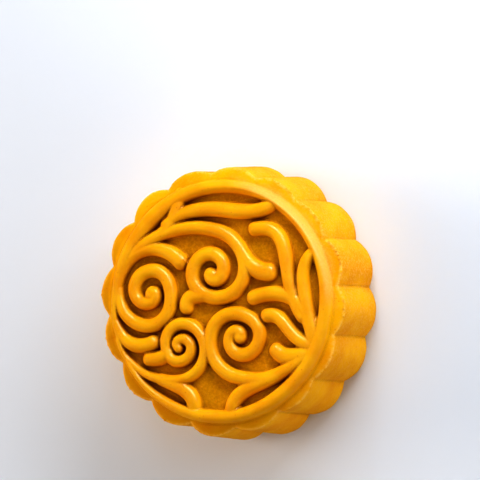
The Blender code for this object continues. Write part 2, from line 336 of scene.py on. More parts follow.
# %% Scrolls and their buttons
SCROLLS = {
    "left scroll": dict(eye=(-16.9, 0.5), start=180, way=1, lead=None,
                        radii=(8.5, 7.45, 4.5, 4.9, 4.45, 2.1, 0.7),
                        widths=(1.4, 1.7, 1.5), button=(-16.8, 0.1, 2.1)),
    "top scroll": dict(eye=(-2.7, 5.7), start=90, way=-1, lead=((-20.5, 10.6), (-15.0, 14.9)),
                       radii=(9.8, 7.8, 4.95, 4.8, 4.4, 2.5, 1.0, 0.3),
                       widths=(1.4, 1.7, 1.65), button=(-2.45, 5.5, 1.75)),
    "low scroll": dict(eye=(-9.3, -10.9), start=270, way=1, lead=((-24.6, -10.6), (-21.5, -17.2)),
                       radii=(7.55, 6.4, 5.05, 3.2, 3.3, 3.1, 1.4, 0.3),
                       widths=(0.7, 1.45, 1.3), button=(-9.25, -11.3, 1.3)),
    "right scroll": dict(eye=(5.6, -7.3), start=270, way=-1, lead=((23.0, -9.5), (15.0, -16.6)),
                         radii=(9.25, 7.3, 4.65, 4.6, 4.2, 2.4, 0.3),
                         widths=(1.6, 1.7, 1.55), button=(5.5, -7.6, 1.8)),
}


def button(x, y, radius):
    builder = bmesh.new()
    ball = bmesh.ops.create_uvsphere(builder, u_segments=48, v_segments=24, radius=1.0)["verts"]
    for vert in ball:
        level = squared(abs(vert.co.z), SECTION_FULLNESS)
        across = math.sqrt(max(0.0, 1 - vert.co.z ** 2))
        if across:
            vert.co.xy *= squared(across, SECTION_FULLNESS) / across
        vert.co.z = math.copysign(level, vert.co.z)
    bmesh.ops.scale(builder, vec=(radius, radius, RELIEF_HEIGHT + FLOOR_DROP), verts=ball)
    bmesh.ops.translate(builder, vec=(x, y, FACE_HEIGHT - FLOOR_DROP), verts=ball)
    return builder


pieces = [body]
for name, scroll in SCROLLS.items():
    path = scroll_path(scroll["eye"], scroll["start"], scroll["way"], scroll["radii"], scroll["lead"])
    pieces.append(strand(path, scroll["widths"]))
    pieces.append(button(*scroll["button"]))
    print(name, "made of", len(pieces[-2].faces), "faces")

# %% [markdown]
# Between the scrolls run leaves, tails and branches. Each is written as its root, the two points
# that bend it, its tip, and its half width at root, middle and tip.

# %% Leaves, tails and branches
LEAVES = {
    "stem": ((-24.5, 5.0), (-21.0, 14.0), (-13.3, 10.0), (-12.1, 22.6), (1.2, 1.5, 1.6)),
    "top leaf": ((-15.0, 15.6), (-7.0, 23.7), (4.5, 17.3), (10.4, 22.2), (1.3, 1.75, 1.6)),
    "upper left leaf": ((-25.4, 1.0), (-24.2, 11.0), (-15.8, 12.1), (-10.7, 7.9), (1.1, 1.5, 1.95)),
    "left leaf": ((-26.4, -3.2), (-24.7, -12.2), (-19.0, -12.4), (-15.8, -10.6), (0.6, 1.5, 1.8)),
    "low tail": ((-11.8, -12.4), (-13.0, -13.8), (-14.5, -14.3), (-16.4, -14.3), (1.6, 1.7, 1.65)),
    "top tail": ((-4.0, 0.9), (-7.2, 0.8), (-8.5, 0.0), (-8.3, -2.1), (1.6, 1.8, 1.75)),
    "middle leaf": ((3.6, 12.2), (5.5, 9.0), (7.5, 6.9), (11.3, 7.2), (1.6, 1.95, 2.05)),
    "left branch": ((-13.0, -18.6), (-8.0, -19.8), (-4.4, -20.5), (-4.3, -25.0), (1.4, 1.75, 1.75)),
    "right branch": ((15.5, -15.6), (9.0, -18.5), (5.0, -19.5), (4.7, -24.8), (1.3, 1.8, 1.7)),
    "hooked leaf": ((20.3, -2.0), (13.1, 6.5), (17.4, 19.0), (6.9, 16.5), (1.6, 1.75, 1.65)),
    "long leaf": ((23.2, -7.0), (20.5, 4.5), (13.0, 3.4), (7.9, 1.3), (1.6, 1.75, 1.75)),
    "wavy leaf": ((23.6, -8.2), (16.7, -7.5), (16.1, -0.9), (11.6, -2.4), (1.7, 1.65, 1.65)),
    "short leaf": ((23.0, -9.6), (19.6, -10.6), (17.0, -12.2), (14.5, -9.9), (1.6, 2.0, 1.75)),
    "rim leaf": ((23.6, -6.0), (20.3, 2.5), (17.5, 8.5), (21.7, 12.6), (1.6, 1.7, 1.4)),
}
LEAF_ROOT = ((24.0, -3.0), (22.8, -6.0), (22.6, -9.5), (21.0, -13.0))
LEAF_ROOT_WIDTHS = (1.6, 2.4, 1.7)
LEAF_ROOT_FALL = 0.82

for name, (root, first_bend, second_bend, tip, widths) in LEAVES.items():
    path = leaf_path(root, first_bend, second_bend, tip)
    pieces.append(strand(path, widths))
pieces.append(strand(leaf_path(*LEAF_ROOT), LEAF_ROOT_WIDTHS, LEAF_ROOT_FALL))
print(len(LEAVES), "leaves and their root")

# %% [markdown]
# The rim is a strand that closes on itself. Its foot follows one circle, but its width is
# uneven: it is thin at the lower left, where three strands peel off it one after another. At
# the upper right the plunger was lifted a little askew and pinched the rim, so its back is a
# roof with a crisp crest there.

# %% The rim round the face
RIM_FOOT_RADIUS = 27.2
RIM_CENTRE = Vector((0.15, -0.2))
RIM_HALF_WIDTHS = (1.7, 1.65, 1.6, 1.6, 1.65, 1.75, 2.0, 1.75, 1.15, 0.7, 0.9, 1.3, 1.65, 1.7, 1.85, 1.85)
RIM_FULLNESS = (2.2, 1.7, 1.4, 1.4, 1.7, 2.1, 2.35, 2.35, 2.35, 2.35, 2.35, 2.35, 2.35, 2.35, 2.35, 2.3)
RIM_STEPS = 320


def rim():
    builder = bmesh.new()
    widths = RIM_HALF_WIDTHS + RIM_HALF_WIDTHS[:1]
    rings = []
    for step in range(RIM_STEPS):
        angle = 2 * math.pi * step / RIM_STEPS
        half_width = smooth_value(widths, step / RIM_STEPS)
        out = Vector((math.cos(angle), math.sin(angle)))
        place = RIM_CENTRE + out * (RIM_FOOT_RADIUS - half_width)
        heading = Vector((-out.y, out.x))
        fullness = smooth_value(RIM_FULLNESS + RIM_FULLNESS[:1], step / RIM_STEPS)
        height = ridge_height(half_width)
        rings.append(section_ring(builder, place, heading, half_width, height, fullness))
    bridge_rings(builder, rings, closed=True)
    return builder


pieces.append(rim())
print("rim", len(pieces[-1].faces), "faces")

# %% [markdown]
# Where the plunger meets the cup, a little dough squeezes up between them. It leaves a thin lip
# along the front edge of the lobes, torn and nicked where it broke off. The lip is one more
# sweep, along the outline, with a height that noise makes ragged. It is highest on the right.

# %% The torn lip along the edge
LIP_HEIGHTS = (0.8, 0.9, 1.0, 0.9, 0.6, 0.3, 0.2, 0.2, 0.2, 0.3, 0.4, 0.45, 0.45, 0.6, 0.7, 0.8)
LIP_INSET = 0.12
LIP_DROP = 0.8 * EDGE_DROP
LIP_HALF_WIDTH = 0.2
LIP_HEIGHT = 0.1
LIP_LEAST_HEIGHT = 0.03
LIP_FULLNESS = 2.0
LIP_SPACING = 0.25
TEAR_LENGTH = 0.5
TEAR_SHARE = 1.0
WAVE_LENGTH = 2.6
WAVE_SHARE = 1.6


def edge_line(inset):
    """The front edge of the lobes, moved in by a distance."""
    peak = CAKE_WIDTH / 2 - inset
    return [lobe_point(index, peak, peak - CREASE_DEPTH, 1.0) for index in range(LOBE_COUNT * LOBE_STEPS)]


def torn_lip():
    builder = bmesh.new()
    edge = edge_line(LIP_INSET)
    points = even_steps(edge + edge[:1], LIP_SPACING)[:-1]
    rings = []
    for index, (place, share) in enumerate(points):
        ahead = points[(index + 1) % len(points)][0]
        heading = (ahead - points[index - 1][0]).normalized()
        tear = TEAR_SHARE * noise.noise(place.to_3d() / TEAR_LENGTH)
        wave = WAVE_SHARE * noise.noise(place.to_3d() / WAVE_LENGTH)
        lobe_height = smooth_value(LIP_HEIGHTS + LIP_HEIGHTS[:1], share - 0.5 / LOBE_COUNT)
        tall = max(LIP_LEAST_HEIGHT, LIP_HEIGHT * lobe_height * (1 + tear + wave))
        wide = LIP_HALF_WIDTH * max(0.5, 1 + 0.4 * tear)
        low_place = place.to_3d() + Vector((0, 0, FLOOR_DROP - LIP_DROP))
        rings.append(section_ring(builder, low_place, heading, wide, tall, LIP_FULLNESS))
    bridge_rings(builder, rings, closed=True)
    return builder


pieces.append(torn_lip())
print("lip", len(pieces[-1].faces), "faces")

# %% [markdown]
# On the upper right the edge is saw-toothed: crumbs about a millimetre apart stayed on it, and
# a few smaller ones elsewhere. Each crumb is a small ball, set by the lobe that it sits on and
# how far along that lobe, and by its radius.

# %% Crumbs on the edge
CRUMB_INSET = 0.1
CRUMBS = ((1.25, 0.3), (1.42, 0.34), (1.5, 0.4), (1.58, 0.36), (1.66, 0.42), (1.73, 0.36), (1.8, 0.4),
          (1.88, 0.34), (2.35, 0.36), (2.45, 0.44), (2.52, 0.38), (2.2, 0.32), (3.3, 0.34), (0.4, 0.32),
          (0.55, 0.38), (0.72, 0.32), (15.5, 0.24), (14.4, 0.26), (9.4, 0.26), (9.55, 0.22), (10.5, 0.26),
          (10.62, 0.22), (11.45, 0.26), (8.6, 0.24))


def crumb(where, radius):
    builder = bmesh.new()
    ball = bmesh.ops.create_icosphere(builder, subdivisions=2, radius=radius)["verts"]
    place = edge_line(CRUMB_INSET)[round(where * LOBE_STEPS)].to_3d()
    bmesh.ops.translate(builder, vec=place + Vector((0, 0, FACE_HEIGHT - LIP_DROP)), verts=ball)
    return builder


for where, radius in CRUMBS:
    pieces.append(crumb(where, radius))
print(len(CRUMBS), "crumbs")

# %% [markdown]
# All pieces are pushed together, as the plunger pushes the dough into one. A voxel remesh melts
# every overlap into one skin. Its cells are small against the narrowest groove, so nothing is
# lost.

# %% Melt the pieces into one dough
CELL = 0.16


def in_one_mesh(name, builders):
    together = bmesh.new()
    for builder in builders:
        part = bpy.data.meshes.new("part")
        builder.to_mesh(part)
        builder.free()
        together.from_mesh(part)
        bpy.data.meshes.remove(part)
    mesh = bpy.data.meshes.new(name)
    together.to_mesh(mesh)
    together.free()
    made = bpy.data.objects.new(name, mesh)
    bpy.context.scene.collection.objects.link(made)
    return made


def apply_modifier(piece, kind, **settings):
    modifier = piece.modifiers.new("work", kind)
    for setting, value in settings.items():
        setattr(modifier, setting, value)
    graph = bpy.context.evaluated_depsgraph_get()
    finished = bpy.data.meshes.new_from_object(piece.evaluated_get(graph))
    piece.modifiers.clear()
    spent = piece.data
    piece.data = finished
    bpy.data.meshes.remove(spent)


cake = in_one_mesh("pressed_cake", pieces)
apply_modifier(cake, "REMESH", mode="VOXEL", voxel_size=CELL)
print("dough", len(cake.data.polygons), "faces")

# %% [markdown]
# Dough can't hold a knife-sharp corner. The feet of the strands run into the face in a small
# fillet, so the corners on and near the face are relaxed four times. The creases of the wall
# stay crisp: one round only takes off the marks of the cells.

# %% Soften the pattern
FEET_FROM = -0.6
FEET_TO = 0.8
FILLET_ROUNDS = 4
WALL_ROUNDS = 1


def relax(builder, verts, rounds):
    for _ in range(rounds):
        bmesh.ops.smooth_vert(builder, verts=verts, factor=0.5, use_axis_x=True, use_axis_y=True,
                              use_axis_z=True)


def soften(builder):
    feet = [vert for vert in builder.verts if FEET_FROM < vert.co.z - FACE_HEIGHT < FEET_TO]
    relax(builder, feet, FILLET_ROUNDS)
    relax(builder, builder.verts, WALL_ROUNDS)


dough = bmesh.new()
dough.from_mesh(cake.data)
soften(dough)
print("softened", len(dough.verts), "corners")

# %% [markdown]
# No surface pressed by hand is even. Two noises push the skin in and out by less than a tenth
# of a millimetre: one as wide as a finger's touch, and one as wide as a strand. The second is
# weak on the pattern, which the plunger smoothed, and stronger on the margin and the wall,
# which dragged along the cup.

# %% Make the skin uneven
TOUCH_WIDTH = 7.0
TOUCH_DEPTH = 0.09
DENT_WIDTH = 1.8
DENT_OFFSET = Vector((31, 7, 3))
PATTERN_DENTS = 0.02
WALL_DENTS = 0.07
WALL_DENTS_FROM = RIM_FOOT_RADIUS + 0.8
FLAT_BELOW = 0.3


def uneven(builder):
    builder.normal_update()
    for vert in builder.verts:
        if vert.co.z < FLAT_BELOW:
            continue
        touch = noise.noise(vert.co / TOUCH_WIDTH)
        dent = noise.noise(vert.co / DENT_WIDTH + DENT_OFFSET)
        dent_depth = WALL_DENTS if vert.co.xy.length > WALL_DENTS_FROM else PATTERN_DENTS
        vert.co += vert.normal * (TOUCH_DEPTH * touch + dent_depth * dent)


uneven(dough)
print("skin uneven by about 0.1 mm")

# %% [markdown]
# The base stays flat, because the cake lay on a tray. The round is a little narrower across than
# along, as it is measured, and the cake is centred by its outline and brought to metres.

# %% Bring the cake to its place
def settle(builder):
    low = Vector((min(point.x for point in widest), min(point.y for point in widest)))
    high = Vector((max(point.x for point in widest), max(point.y for point in widest)))
    middle = (low + high) / 2
    bmesh.ops.translate(builder, vec=(-middle.x, -middle.y, 0), verts=builder.verts)
    bmesh.ops.scale(builder, vec=(FLATTENING * MM, MM, MM), verts=builder.verts)
    return Vector((-middle.x * FLATTENING, -middle.y, 0)) * MM


pattern_shift = settle(dough)
bmesh.ops.triangulate(dough, faces=dough.faces)
dough.to_mesh(cake.data)
dough.free()
print("pattern moved by", pattern_shift / MM, "mm")

# %% [markdown]
# The remesh gives far more faces than the cake needs. Decimate takes most of them from the flat
# base and the plain wall, and keeps the pattern's. Then the cake gets its place in the frame:
# it rides on the part's one body and stands in for the solid cake.

# %% Thin the mesh
FACES_WANTED = 190000

apply_modifier(cake, "DECIMATE", ratio=min(1.0, FACES_WANTED / len(cake.data.polygons)))
cake.data.shade_smooth()
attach(cake, "root")
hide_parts("mooncake")
print("cake", len(cake.data.polygons), "triangles")

# %% [markdown]
# The thin edge between the face and the wall is torn, and it gets a pale painted highlight, so the finish
# has to know where it runs. It follows the lobes, which no plain coordinate does.
# given a value of its own: one on the edge, and nothing beyond about half a millimetre from it.

# %% Mark the torn edge
TORN_REACH = 0.55


def mark_torn_edge(piece):
    corners = edge_line(LIP_INSET)
    line = kdtree.KDTree(len(corners))
    for index, corner in enumerate(corners):
        line.insert(corner.to_3d() + Vector((0, 0, FACE_HEIGHT - LIP_DROP)), index)
    line.balance()
    shares = []
    for vert in piece.data.vertices:
        point = (vert.co - pattern_shift) / MM
        point.x /= FLATTENING
        distance = line.find(point)[2]
        shares.append(max(0.0, 1 - distance / TORN_REACH))
    layer = piece.data.attributes.new("torn_edge", "FLOAT", "POINT")
    layer.data.foreach_set("value", shares)
    return sum(share > 0 for share in shares)


print("torn edge marked on", mark_torn_edge(cake), "corners")

# %% [markdown]
# The crust is baked custard pastry: flour, butter, egg yolk and custard powder, pressed in a
# mould and baked with a thin egg wash. To the eye it is a deep golden yellow, satin where the
# mould polished it and matt where it is dry. Before any node is made, two helpers are needed.
# Colours are picked as sRGB hex, the way a photo shows them, and a shader wants them linear.

# %% Helpers for finishes
def linear(hex_colour):
    """A colour written as sRGB hex, as the linear values that a shader works in."""
    parts = [int(hex_colour[start:start + 2], 16) / 255 for start in (1, 3, 5)]
    return tuple(part / 12.92 if part <= 0.04045 else ((part + 0.055) / 1.055) ** 2.4
                 for part in parts) + (1.0,)


def add_node(tree, kind, settings=None, inputs=None, links=None):
    """Add one node with its settings, its own values, and links from other nodes' sockets."""
    node = tree.nodes.new(kind)
    for name, value in (settings or {}).items():
        setattr(node, name, value)
    for name, value in (inputs or {}).items():
        node.inputs[name].default_value = value
    for name, socket in (links or {}).items():
        tree.links.new(socket, node.inputs[name])
    return node


def per_mm(size):
    """The texture scale that gives features of this size in millimetres."""
    return 1 / (size * MM)


print("a 0.5 mm grain is texture scale", per_mm(0.5))

# %% [markdown]
# The finish changes with the place on the cake, so masks come first, all from the place itself:
# how far up the wall, how low between the strands, and how far from the middle. A mask is a
# number from nothing to one, and a soft step keeps its edge from showing.

# %% Wall, top and recess
crust = bpy.data.materials.new("baked_custard_crust")
crust.use_nodes = True
tree = crust.node_tree
tree.nodes.clear()
place = add_node(tree, "ShaderNodeTexCoord")
axes = add_node(tree, "ShaderNodeSeparateXYZ", links={"Vector": place.outputs["Object"]})
level = add_node(tree, "ShaderNodeVectorMath", {"operation": "MULTIPLY"}, {1: (1.0, 1.0, 0.0)},
                 {0: place.outputs["Object"]})
radius = add_node(tree, "ShaderNodeVectorMath", {"operation": "LENGTH"}, links={0: level.outputs["Vector"]})
on_wall = add_node(tree, "ShaderNodeMapRange", {"interpolation_type": "SMOOTHSTEP"},
                   {"From Min": (FACE_HEIGHT - 0.3) * MM, "From Max": (FACE_HEIGHT - 1.0) * MM},
                   {"Value": axes.outputs["Z"]})
is_low = add_node(tree, "ShaderNodeMapRange", {"interpolation_type": "SMOOTHSTEP"},
                  {"From Min": (FACE_HEIGHT + 0.3) * MM, "From Max": (FACE_HEIGHT - 0.35) * MM},
                  {"Value": axes.outputs["Z"]})
is_inside = add_node(tree, "ShaderNodeMapRange", {"interpolation_type": "SMOOTHSTEP"},
                     {"From Min": (RECESS_RADIUS + 0.6) * MM, "From Max": (RECESS_RADIUS - 0.6) * MM},
                     {"Value": radius.outputs["Value"]})
in_recess = add_node(tree, "ShaderNodeMath", {"operation": "MULTIPLY"},
                     links={0: is_low.outputs["Result"], 1: is_inside.outputs["Result"]})
print("recess reaches", RECESS_RADIUS, "mm out")

# %% [markdown]
# Three more masks mark sides of the cake. At the upper right the plunger dragged on the rim as it was
# lifted. That side faces the key lamp, so the top of the rim there and the wall below are painted paler, as
# painted sheen. The margin on the other side lies in the rim's shadow and is painted browner, as painted
# shade. A dot product with the diagonal tells how far a point lies towards the upper right.

# %% Painted sheen on the lit side and painted shade on the margin
upper_right = add_node(tree, "ShaderNodeVectorMath", {"operation": "DOT_PRODUCT"}, {1: (1.0, 1.0, 0.0)},
                       {0: place.outputs["Object"]})
on_top = add_node(tree, "ShaderNodeMapRange", inputs={"To Min": 1.0, "To Max": 0.0},
                  links={"Value": is_low.outputs["Result"]})
on_rim = add_node(tree, "ShaderNodeMapRange", {"interpolation_type": "SMOOTHSTEP"},
                  {"From Min": 24.9 * MM, "From Max": 25.8 * MM},
                  {"Value": radius.outputs["Value"], "To Max": on_top.outputs["Result"]})
# The top of the rim at the upper right faces the key lamp; its paler colour is painted sheen.
rim_toward_key = add_node(tree, "ShaderNodeMapRange", {"interpolation_type": "SMOOTHSTEP"},
                   {"From Min": 25 * MM, "From Max": 34 * MM},
                   {"Value": upper_right.outputs["Value"], "To Max": on_rim.outputs["Result"]})
# The wall at the upper right faces the key lamp and gets more pale grain, as painted sheen.
wall_toward_key = add_node(tree, "ShaderNodeMapRange", {"interpolation_type": "SMOOTHSTEP"},
                    {"From Min": -5 * MM, "From Max": 35 * MM},
                    {"Value": upper_right.outputs["Value"], "To Max": on_wall.outputs["Result"]})
off_wall = add_node(tree, "ShaderNodeMapRange", inputs={"To Min": 1.0, "To Max": 0.0},
                    links={"Value": on_wall.outputs["Result"]})
on_margin = add_node(tree, "ShaderNodeMapRange", {"interpolation_type": "SMOOTHSTEP"},
                     {"From Min": 26.7 * MM, "From Max": 27.6 * MM},
                     {"Value": radius.outputs["Value"], "To Max": off_wall.outputs["Result"]})
# The margin at the lower left lies in the rim's shadow and is painted browner, as painted shade.
margin_in_shadow = add_node(tree, "ShaderNodeMapRange", {"interpolation_type": "SMOOTHSTEP"},
                   {"From Min": 5 * MM, "From Max": -22 * MM},
                   {"Value": upper_right.outputs["Value"], "To Max": on_margin.outputs["Result"]})
print("masks made of", len(tree.nodes), "nodes")

# %% [markdown]
# Now the colour. The egg in the dough bakes a little unevenly, over areas as wide as a finger tip. Dry
# flour shows as a paler grain, weak on the polished strands. On the side that faces the key lamp the pale
# grain is made much stronger and the rim's top is mixed paler, as painted sheen. Single grains are too fine
# to show in the picture, so they are drawn as clumps half a millimetre wide. The margin on the shaded side
# is mixed towards brown, as painted shade.

# %% Golden dough
BLOTCH = 6.0
GRAIN = 0.5
RIM_SHEEN_SHARE = 0.45
MARGIN_SHADE_SHARE = 0.35
blotch = add_node(tree, "ShaderNodeTexNoise", inputs={"Scale": per_mm(BLOTCH), "Detail": 6.0},
                  links={"Vector": place.outputs["Object"]})
gold = add_node(tree, "ShaderNodeValToRGB", links={"Fac": blotch.outputs["Fac"]})
gold.color_ramp.elements[0].position = 0.36
gold.color_ramp.elements[0].color = linear("#F3A604")
gold.color_ramp.elements[1].position = 0.64
gold.color_ramp.elements[1].color = linear("#FCBB0E")
grain = add_node(tree, "ShaderNodeTexNoise", inputs={"Scale": per_mm(GRAIN), "Detail": 2.0},
                 links={"Vector": place.outputs["Object"]})
# Painted sheen: the rim's top on the upper right is mixed paler.
rim_sheen_share = add_node(tree, "ShaderNodeMath", {"operation": "MULTIPLY"}, {1: RIM_SHEEN_SHARE},
                     {0: rim_toward_key.outputs["Result"]})
rim_painted_sheen = add_node(tree, "ShaderNodeMix", {"data_type": "RGBA"}, {7: linear("#FFBE76")},
                   {0: rim_sheen_share.outputs["Value"], 6: gold.outputs["Color"]})
# Pale grain of the flour, made stronger on the side facing the key lamp as painted sheen.
lit_side = add_node(tree, "ShaderNodeMath", {"operation": "MAXIMUM"},
               links={0: rim_toward_key.outputs["Result"], 1: wall_toward_key.outputs["Result"]})
grain_and_sheen_share = add_node(tree, "ShaderNodeMapRange", inputs={"To Min": 0.12, "To Max": 0.5},
                       links={"Value": lit_side.outputs["Value"]})
pale_grain_and_sheen = add_node(tree, "ShaderNodeMapRange", inputs={"From Min": 0.5, "From Max": 0.62},
                      links={"Value": grain.outputs["Fac"], "To Max": grain_and_sheen_share.outputs["Result"]})
flour_and_sheen = add_node(tree, "ShaderNodeMix", {"data_type": "RGBA"}, {7: linear("#FFC464")},
                  {0: pale_grain_and_sheen.outputs["Result"], 6: rim_painted_sheen.outputs[2]})
# Painted shade on the margin at the lower left.
margin_shade_share = add_node(tree, "ShaderNodeMath", {"operation": "MULTIPLY"}, {1: MARGIN_SHADE_SHARE},
                       {0: margin_in_shadow.outputs["Result"]})
margin_shaded = add_node(tree, "ShaderNodeMix", {"data_type": "RGBA"}, {7: linear("#A86204")},
                    {0: margin_shade_share.outputs["Value"], 6: flour_and_sheen.outputs[2]})
print("golden dough made of", len(tree.nodes), "nodes")

# %% [markdown]
# The low floor between the strands is coloured a browner ochre. The strands are painted darker towards
# their feet, as painted shade. Painted shade is laid in the grooves too: an ambient occlusion node finds
# them, because it measures how much of the open air near a point is taken up by the cake itself. A second
# one with a short reach paints thin dark lines of shade in the creases of the wall and at the strands'
# feet.

# %% Floor, and painted shade at the feet, in grooves and in seams
FOOT_SHADE_SHARE = 0.4
RECESS_SHARE = 0.95
GROOVE_REACH = 2.0
SEAM_REACH = 0.6
# Painted shade: the strands darken towards their feet.
foot_shade = add_node(tree, "ShaderNodeMapRange", {"interpolation_type": "SMOOTHSTEP"},
                     {"From Min": (FACE_HEIGHT + 1.1) * MM, "From Max": (FACE_HEIGHT + 0.1) * MM},
                     {"Value": axes.outputs["Z"], "To Max": is_inside.outputs["Result"]})
foot_shade_share = add_node(tree, "ShaderNodeMath", {"operation": "MULTIPLY"}, {1: FOOT_SHADE_SHARE},
                      {0: foot_shade.outputs["Result"]})
foot_shaded = add_node(tree, "ShaderNodeMix", {"data_type": "RGBA"}, {7: linear("#A05A00")},
                  {0: foot_shade_share.outputs["Value"], 6: margin_shaded.outputs[2]})
recess_share = add_node(tree, "ShaderNodeMath", {"operation": "MULTIPLY"}, {1: RECESS_SHARE},
                        {0: in_recess.outputs["Value"]})
ochre = add_node(tree, "ShaderNodeValToRGB", links={"Fac": grain.outputs["Fac"]})
ochre.color_ramp.elements[0].position = 0.35
ochre.color_ramp.elements[0].color = linear("#B07804")
ochre.color_ramp.elements[1].position = 0.68
ochre.color_ramp.elements[1].color = linear("#E2A80C")
recessed = add_node(tree, "ShaderNodeMix", {"data_type": "RGBA"}, None,
                    {0: recess_share.outputs["Value"], 6: foot_shaded.outputs[2], 7: ochre.outputs["Color"]})
# Painted shade in the grooves, found by ambient occlusion.
groove_occlusion = add_node(tree, "ShaderNodeAmbientOcclusion", {"samples": 6, "only_local": True},
                   {"Distance": GROOVE_REACH * MM})
occluded_groove = add_node(tree, "ShaderNodeMapRange", inputs={"From Min": 0.8, "From Max": 0.4, "To Max": 0.72},
                     links={"Value": groove_occlusion.outputs["AO"]})
groove_shaded = add_node(tree, "ShaderNodeMix", {"data_type": "RGBA"}, {7: linear("#763A00")},
                   {0: occluded_groove.outputs["Result"], 6: recessed.outputs[2]})
# Painted shade: thin dark lines in the creases of the wall and at the strands' feet.
seam_occlusion = add_node(tree, "ShaderNodeAmbientOcclusion", {"samples": 6, "only_local": True},
                 {"Distance": SEAM_REACH * MM})
seam_shade_share = add_node(tree, "ShaderNodeMapRange", inputs={"From Min": 0.96, "From Max": 0.62, "To Max": 0.85},
                   links={"Value": seam_occlusion.outputs["AO"]})
seam_shaded = add_node(tree, "ShaderNodeMix", {"data_type": "RGBA"}, {7: linear("#763A00")},
                  {0: seam_shade_share.outputs["Result"], 6: groove_shaded.outputs[2]})
print("with the grooves", len(tree.nodes), "nodes")

# %% [markdown]
# Last the small things. A few darker specks are sugar that browned. Along the front edge a pale line is
# painted as a highlight, broken into patches about two millimetres long. The floor has tiny pale bubbles,
# kept to the recess by its mask.

# %% Specks, painted highlight on the edge, and bubbles
SPECK_SPACING = 1.6
HIGHLIGHT_PATCH = 2.0
BUBBLE_SPACING = 1.5
BUBBLE_SHARE = 0.7
speck_cells = add_node(tree, "ShaderNodeTexVoronoi", inputs={"Scale": per_mm(SPECK_SPACING)},
                       links={"Vector": place.outputs["Object"]})
speck = add_node(tree, "ShaderNodeMapRange", inputs={"From Min": 0.12, "From Max": 0.07, "To Max": 0.5},
                 links={"Value": speck_cells.outputs["Distance"]})
speckled = add_node(tree, "ShaderNodeMix", {"data_type": "RGBA"}, {7: linear("#D97400")},
                    {0: speck.outputs["Result"], 6: seam_shaded.outputs[2]})
edge_mark = add_node(tree, "ShaderNodeAttribute", {"attribute_name": "torn_edge"})
# Painted highlight: a pale line along the front edge, broken up by the grain and by patches.
crumbs = add_node(tree, "ShaderNodeMapRange", inputs={"From Min": 0.3, "From Max": 0.5},
                  links={"Value": grain.outputs["Fac"]})
highlight_patches = add_node(tree, "ShaderNodeTexNoise", inputs={"Scale": per_mm(HIGHLIGHT_PATCH), "Detail": 1.0},
                 links={"Vector": place.outputs["Object"]})
highlight_share = add_node(tree, "ShaderNodeMapRange", inputs={"From Min": 0.3, "From Max": 0.5},
                      links={"Value": highlight_patches.outputs["Fac"], "To Max": edge_mark.outputs["Fac"]})
torn_and_highlit = add_node(tree, "ShaderNodeMath", {"operation": "MULTIPLY", "use_clamp": True},
                links={0: crumbs.outputs["Result"], 1: highlight_share.outputs["Result"]})
edge_highlighted = add_node(tree, "ShaderNodeMix", {"data_type": "RGBA"}, {7: linear("#FFCC68")},
                 {0: torn_and_highlit.outputs["Value"], 6: speckled.outputs[2]})
bubble_cells = add_node(tree, "ShaderNodeTexVoronoi", inputs={"Scale": per_mm(BUBBLE_SPACING)},
                        links={"Vector": place.outputs["Object"]})
bubble = add_node(tree, "ShaderNodeMapRange", inputs={"From Min": 0.18, "From Max": 0.1},
                  links={"Value": bubble_cells.outputs["Distance"]})
low_bubble = add_node(tree, "ShaderNodeMath", {"operation": "MULTIPLY"},
                      links={0: bubble.outputs["Result"], 1: in_recess.outputs["Value"]})
bubble_tint = add_node(tree, "ShaderNodeMath", {"operation": "MULTIPLY"}, {1: BUBBLE_SHARE},
                       {0: low_bubble.outputs["Value"]})
crust_colour = add_node(tree, "ShaderNodeMix", {"data_type": "RGBA"}, {7: linear("#F6BC48")},
                        {0: bubble_tint.outputs["Value"], 6: edge_highlighted.outputs[2]})
print("colour made of", len(tree.nodes), "nodes")

# %% [markdown]
# The same grain and bubbles stand out of the surface, by about a tenth of a millimetre, so they also break
# up the shine. The plunger left fine streaks along the upper right of the rim: a noise read by radius and
# angle is stretched along it. The heights are millimetres, so the bump node gets a distance of one
# millimetre.

# %% Relief of the crust
GRAIN_HEIGHT = 0.1
BUBBLE_HEIGHT = 0.12
STREAK_WIDTH = 0.35
STREAK_HEIGHT = 0.05
STREAKS_PER_RADIAN = 5.0
rough_share = add_node(tree, "ShaderNodeMath", {"operation": "MAXIMUM"},
                       links={0: on_wall.outputs["Result"], 1: in_recess.outputs["Value"]})
grain_depth = add_node(tree, "ShaderNodeMapRange",
                       inputs={"To Min": 0.5 * GRAIN_HEIGHT, "To Max": GRAIN_HEIGHT},
                       links={"Value": rough_share.outputs["Value"]})
grain_height = add_node(tree, "ShaderNodeMath", {"operation": "MULTIPLY"},
                        links={0: grain.outputs["Fac"], 1: grain_depth.outputs["Result"]})
bubbly = add_node(tree, "ShaderNodeMath", {"operation": "MULTIPLY_ADD"}, {1: BUBBLE_HEIGHT},
                  {0: low_bubble.outputs["Value"], 2: grain_height.outputs["Value"]})
angle = add_node(tree, "ShaderNodeMath", {"operation": "ARCTAN2"},
                 links={0: axes.outputs["Y"], 1: axes.outputs["X"]})
turns = add_node(tree, "ShaderNodeMath", {"operation": "MULTIPLY"}, {1: STREAKS_PER_RADIAN},
                 {0: angle.outputs["Value"]})
rows = add_node(tree, "ShaderNodeMath", {"operation": "MULTIPLY"}, {1: per_mm(STREAK_WIDTH)},
                {0: radius.outputs["Value"]})
along = add_node(tree, "ShaderNodeCombineXYZ",
                 links={"X": rows.outputs["Value"], "Y": turns.outputs["Value"]})
streaks = add_node(tree, "ShaderNodeTexNoise", inputs={"Scale": 1.0, "Detail": 1.0},
                   links={"Vector": along.outputs["Vector"]})
streak_depth = add_node(tree, "ShaderNodeMath", {"operation": "MULTIPLY"}, {1: STREAK_HEIGHT},
                        {0: rim_toward_key.outputs["Result"]})
